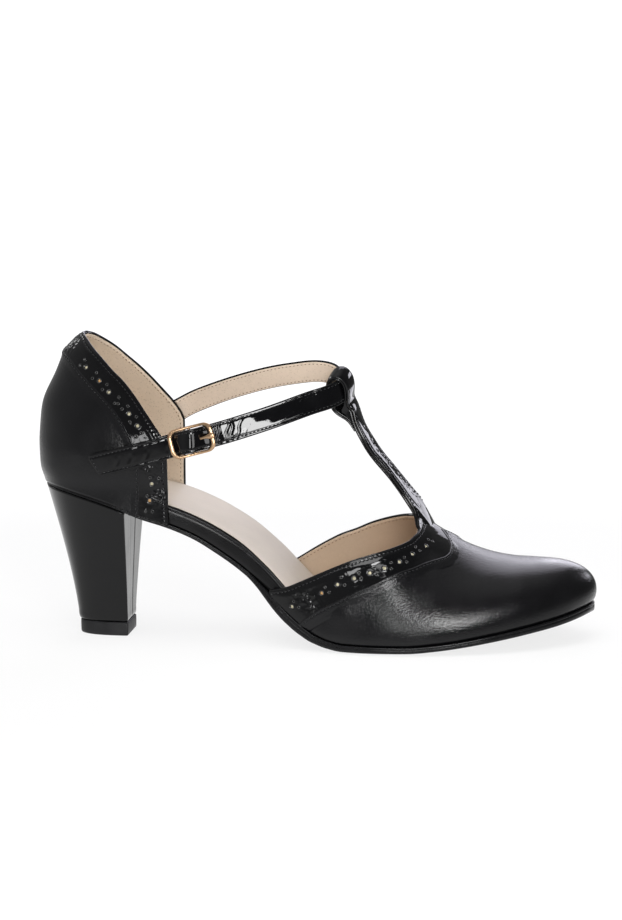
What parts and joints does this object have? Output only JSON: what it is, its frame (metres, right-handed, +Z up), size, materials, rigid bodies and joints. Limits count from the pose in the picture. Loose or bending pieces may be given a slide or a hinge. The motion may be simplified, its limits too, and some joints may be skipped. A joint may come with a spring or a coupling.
{
  "type": "strap pump",
  "caption": "Right T-bar pump with open sides, ankle strap with a buckle, almond toe and a tapered block heel, standing empty on its sole.",
  "frame": {"origin": "on the floor under the middle of the shoe's box", "axes": "+X from the heel to the toe, +Y to the inner side of the foot, +Z up"},
  "size_m": [0.2442, 0.0844, 0.133],
  "materials": {
    "black_calf": "smooth black leather with a satin shine",
    "black_patent": "black crinkled patent leather, glossy",
    "insole_wrap": "black leather wrapped round the insole's rim, satin",
    "lining_leather": "beige lining and sock leather, matt",
    "sole_rubber": "black sole, matt",
    "heel_cover": "black leather drawn over the heel, satin",
    "top_piece_rubber": "black rubber, matt",
    "rose_gold": "polished rose-gold plating"
  },
  "bodies": {
    "root": {"vamp": "black_calf", "quarter": "black_calf", "t_bar": "black_patent", "ankle_strap": "black_patent", "buckle_tab": "black_patent", "buckle_frame": "rose_gold", "buckle_prong": "rose_gold", "insole": "insole_wrap", "outsole": "sole_rubber", "heel": "heel_cover", "heel_top_piece": "top_piece_rubber"}
  },
  "joints": []
}
